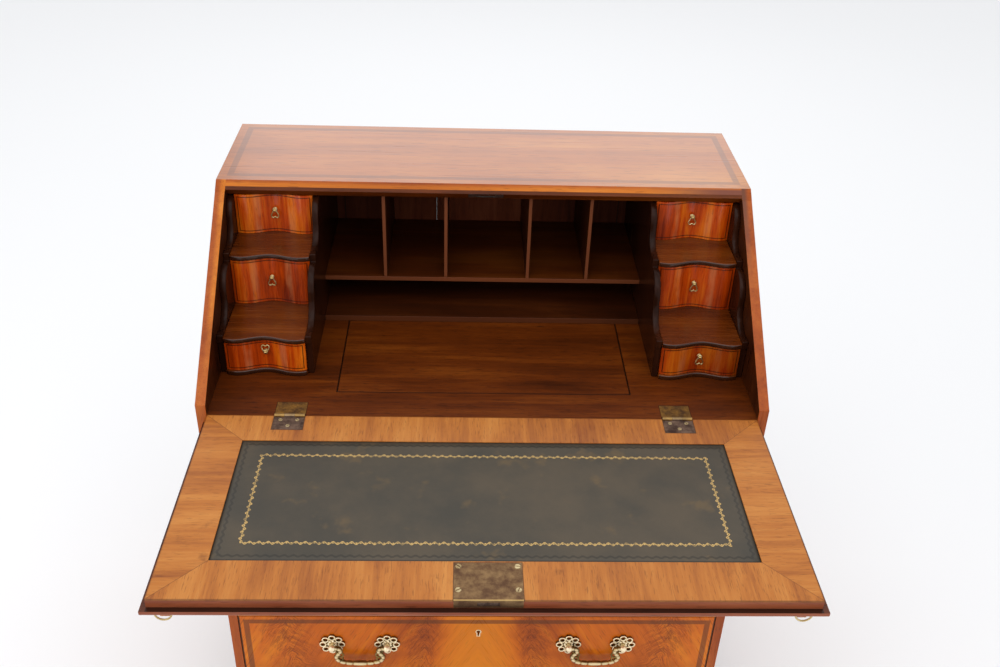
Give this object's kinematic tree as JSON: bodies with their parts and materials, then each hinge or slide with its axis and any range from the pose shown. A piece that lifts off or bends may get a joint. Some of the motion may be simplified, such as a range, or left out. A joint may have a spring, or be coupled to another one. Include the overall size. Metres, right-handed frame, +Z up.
{
  "type": "escritoire",
  "caption": "Drop-front writing desk on bracket feet: the fall opens on lopers onto a leather writing surface, pigeonholes and small drawers, over long drawers.",
  "frame": {"origin": "on the floor, under the middle of the box that the open desk fills", "axes": "+X to the sitter's right, +Y to the back, +Z up"},
  "size_m": [0.778, 0.7916, 0.948],
  "materials": {
    "carcase_veneer": "polished walnut veneer",
    "fall_veneer": "cross-grained pale border, polished",
    "interior_wood": "dark stained, satin",
    "plain_wood": "unfinished softwood",
    "small_drawer_veneer": "striped veneer, polished",
    "drawer_veneer": "figured veneer, polished",
    "leather": "worn hide, tooled",
    "brass": "aged",
    "steel": "plain"
  },
  "bodies": {
    "carcase": {"side_left": "carcase_veneer", "side_right": "carcase_veneer", "top_board": "carcase_veneer", "frieze_front": "carcase_veneer", "drawer_rails": "carcase_veneer", "base_moulding": "carcase_veneer", "bracket_feet": "carcase_veneer", "back_boards": "plain_wood", "well_tray": "plain_wood", "loper_guides": "plain_wood", "drawer_runners": "plain_wood", "bottom_board": "plain_wood", "writing_bed": "interior_wood", "tower_cheeks": "interior_wood", "tower_shelves": "interior_wood", "slot_floor": "interior_wood", "pigeonhole_floor": "interior_wood", "pigeonhole_dividers": "interior_wood", "strike_plate": "brass", "hinge_bed_leaves": "brass"},
    "fall": {"fall_panel": "carcase_veneer", "fall_banding": "fall_veneer", "leather_skiver": "leather", "fall_lock": "brass", "hinge_fall_leaves": "brass", "hinge_pins": "steel"},
    "fall_bolt": {"fall_lock_bolt": "steel"},
    "loper_left": {"loper_left": "carcase_veneer"},
    "loper_ring_left": {"loper_ring_left": "brass"},
    "loper_right": {"loper_right": "carcase_veneer"},
    "loper_ring_right": {"loper_ring_right": "brass"},
    "well_slide": {"well_slide": "interior_wood"},
    "small_drawer_lower_left": {"small_drawer_lower_left": "small_drawer_veneer"},
    "drop_lower_left": {"drop_lower_left": "brass"},
    "small_drawer_lower_right": {"small_drawer_lower_right": "small_drawer_veneer"},
    "drop_lower_right": {"drop_lower_right": "brass"},
    "small_drawer_middle_left": {"small_drawer_middle_left": "small_drawer_veneer"},
    "drop_middle_left": {"drop_middle_left": "brass"},
    "small_drawer_middle_right": {"small_drawer_middle_right": "small_drawer_veneer"},
    "drop_middle_right": {"drop_middle_right": "brass"},
    "small_drawer_upper_left": {"small_drawer_upper_left": "small_drawer_veneer"},
    "drop_upper_left": {"drop_upper_left": "brass"},
    "small_drawer_upper_right": {"small_drawer_upper_right": "small_drawer_veneer"},
    "drop_upper_right": {"drop_upper_right": "brass"},
    "long_drawer_lower": {"long_drawer_lower": "drawer_veneer", "brassware_lower": "brass"},
    "drawer_bolt_lower": {"drawer_bolt_lower": "steel"},
    "bail_lower_left": {"bail_lower_left": "brass"},
    "bail_lower_right": {"bail_lower_right": "brass"},
    "long_drawer_middle": {"long_drawer_middle": "drawer_veneer", "brassware_middle": "brass"},
    "drawer_bolt_middle": {"drawer_bolt_middle": "steel"},
    "bail_middle_left": {"bail_middle_left": "brass"},
    "bail_middle_right": {"bail_middle_right": "brass"},
    "long_drawer_upper": {"long_drawer_upper": "drawer_veneer", "brassware_upper": "brass"},
    "drawer_bolt_upper": {"drawer_bolt_upper": "steel"},
    "bail_upper_left": {"bail_upper_left": "brass"},
    "bail_upper_right": {"bail_upper_right": "brass"}
  },
  "joints": [
    {"name": "fall_hinge", "type": "hinge", "parent": "carcase", "child": "fall", "pos_m": [0, -0.0682, 0.728], "axis": [-1, 0, 0], "range_deg": [0, 141.41]},
    {"name": "fall_bolt_slide", "type": "slide", "parent": "fall", "child": "fall_bolt", "axis": [0, -1, 0], "range_m": [0, 0.0065]},
    {"name": "loper_left_slide", "type": "slide", "parent": "carcase", "child": "loper_left", "axis": [0, 1, 0], "range_m": [0, 0.288]},
    {"name": "loper_ring_left_swing", "type": "hinge", "parent": "loper_left", "child": "loper_ring_left", "pos_m": [-0.3606, -0.3622, 0.68471], "axis": [1, 0, 0], "range_deg": [-160, 0]},
    {"name": "loper_right_slide", "type": "slide", "parent": "carcase", "child": "loper_right", "axis": [0, 1, 0], "range_m": [0, 0.288]},
    {"name": "loper_ring_right_swing", "type": "hinge", "parent": "loper_right", "child": "loper_ring_right", "pos_m": [0.3606, -0.3622, 0.68471], "axis": [1, 0, 0], "range_deg": [-160, 0]},
    {"name": "well_slide_run", "type": "slide", "parent": "carcase", "child": "well_slide", "axis": [0, 1, 0], "range_m": [0, 0.168]},
    {"name": "small_drawer_lower_left_slide", "type": "slide", "parent": "carcase", "child": "small_drawer_lower_left", "axis": [0, 1, 0], "range_m": [-0.24, 0]},
    {"name": "drop_lower_left_swing", "type": "hinge", "parent": "small_drawer_lower_left", "child": "drop_lower_left", "pos_m": [-0.30225, 0.029, 0.7625], "axis": [1, 0, 0], "range_deg": [0, 192]},
    {"name": "small_drawer_lower_right_slide", "type": "slide", "parent": "carcase", "child": "small_drawer_lower_right", "axis": [0, 1, 0], "range_m": [-0.24, 0]},
    {"name": "drop_lower_right_swing", "type": "hinge", "parent": "small_drawer_lower_right", "child": "drop_lower_right", "pos_m": [0.30225, 0.029, 0.7625], "axis": [1, 0, 0], "range_deg": [-192, 0]},
    {"name": "small_drawer_middle_left_slide", "type": "slide", "parent": "carcase", "child": "small_drawer_middle_left", "axis": [0, 1, 0], "range_m": [-0.17, 0]},
    {"name": "drop_middle_left_swing", "type": "hinge", "parent": "small_drawer_middle_left", "child": "drop_middle_left", "pos_m": [-0.30225, 0.12, 0.828], "axis": [1, 0, 0], "range_deg": [-192, 0]},
    {"name": "small_drawer_middle_right_slide", "type": "slide", "parent": "carcase", "child": "small_drawer_middle_right", "axis": [0, 1, 0], "range_m": [-0.17, 0]},
    {"name": "drop_middle_right_swing", "type": "hinge", "parent": "small_drawer_middle_right", "child": "drop_middle_right", "pos_m": [0.30225, 0.12, 0.828], "axis": [1, 0, 0], "range_deg": [-192, 0]},
    {"name": "small_drawer_upper_left_slide", "type": "slide", "parent": "carcase", "child": "small_drawer_upper_left", "axis": [0, 1, 0], "range_m": [-0.12, 0]},
    {"name": "drop_upper_left_swing", "type": "hinge", "parent": "small_drawer_upper_left", "child": "drop_upper_left", "pos_m": [-0.30225, 0.187, 0.9015], "axis": [1, 0, 0], "range_deg": [-192, 0]},
    {"name": "small_drawer_upper_right_slide", "type": "slide", "parent": "carcase", "child": "small_drawer_upper_right", "axis": [0, 1, 0], "range_m": [-0.12, 0]},
    {"name": "drop_upper_right_swing", "type": "hinge", "parent": "small_drawer_upper_right", "child": "drop_upper_right", "pos_m": [0.30225, 0.187, 0.9015], "axis": [1, 0, 0], "range_deg": [-192, 0]},
    {"name": "long_drawer_lower_slide", "type": "slide", "parent": "carcase", "child": "long_drawer_lower", "axis": [0, 1, 0], "range_m": [-0.3, 0]},
    {"name": "drawer_bolt_lower_slide", "type": "slide", "parent": "long_drawer_lower", "child": "drawer_bolt_lower", "axis": [0, 0, 1], "range_m": [0, 0.006]},
    {"name": "bail_lower_left_swing", "type": "hinge", "parent": "long_drawer_lower", "child": "bail_lower_left", "pos_m": [-0.184, -0.0792, 0.28407], "axis": [1, 0, 0], "range_deg": [-110, 0]},
    {"name": "bail_lower_right_swing", "type": "hinge", "parent": "long_drawer_lower", "child": "bail_lower_right", "pos_m": [0.184, -0.0792, 0.28407], "axis": [1, 0, 0], "range_deg": [-110, 0]},
    {"name": "long_drawer_middle_slide", "type": "slide", "parent": "carcase", "child": "long_drawer_middle", "axis": [0, 1, 0], "range_m": [-0.3, 0]},
    {"name": "drawer_bolt_middle_slide", "type": "slide", "parent": "long_drawer_middle", "child": "drawer_bolt_middle", "axis": [0, 0, 1], "range_m": [0, 0.006]},
    {"name": "bail_middle_left_swing", "type": "hinge", "parent": "long_drawer_middle", "child": "bail_middle_left", "pos_m": [-0.184, -0.0792, 0.44239], "axis": [1, 0, 0], "range_deg": [-110, 0]},
    {"name": "bail_middle_right_swing", "type": "hinge", "parent": "long_drawer_middle", "child": "bail_middle_right", "pos_m": [0.184, -0.0792, 0.44239], "axis": [1, 0, 0], "range_deg": [-110, 0]},
    {"name": "long_drawer_upper_slide", "type": "slide", "parent": "carcase", "child": "long_drawer_upper", "axis": [0, 1, 0], "range_m": [-0.3, 0]},
    {"name": "drawer_bolt_upper_slide", "type": "slide", "parent": "long_drawer_upper", "child": "drawer_bolt_upper", "axis": [0, 0, 1], "range_m": [0, 0.006]},
    {"name": "bail_upper_left_swing", "type": "hinge", "parent": "long_drawer_upper", "child": "bail_upper_left", "pos_m": [-0.184, -0.0792, 0.59578], "axis": [1, 0, 0], "range_deg": [-110, 0]},
    {"name": "bail_upper_right_swing", "type": "hinge", "parent": "long_drawer_upper", "child": "bail_upper_right", "pos_m": [0.184, -0.0792, 0.59578], "axis": [1, 0, 0], "range_deg": [-110, 0]}
  ]
}
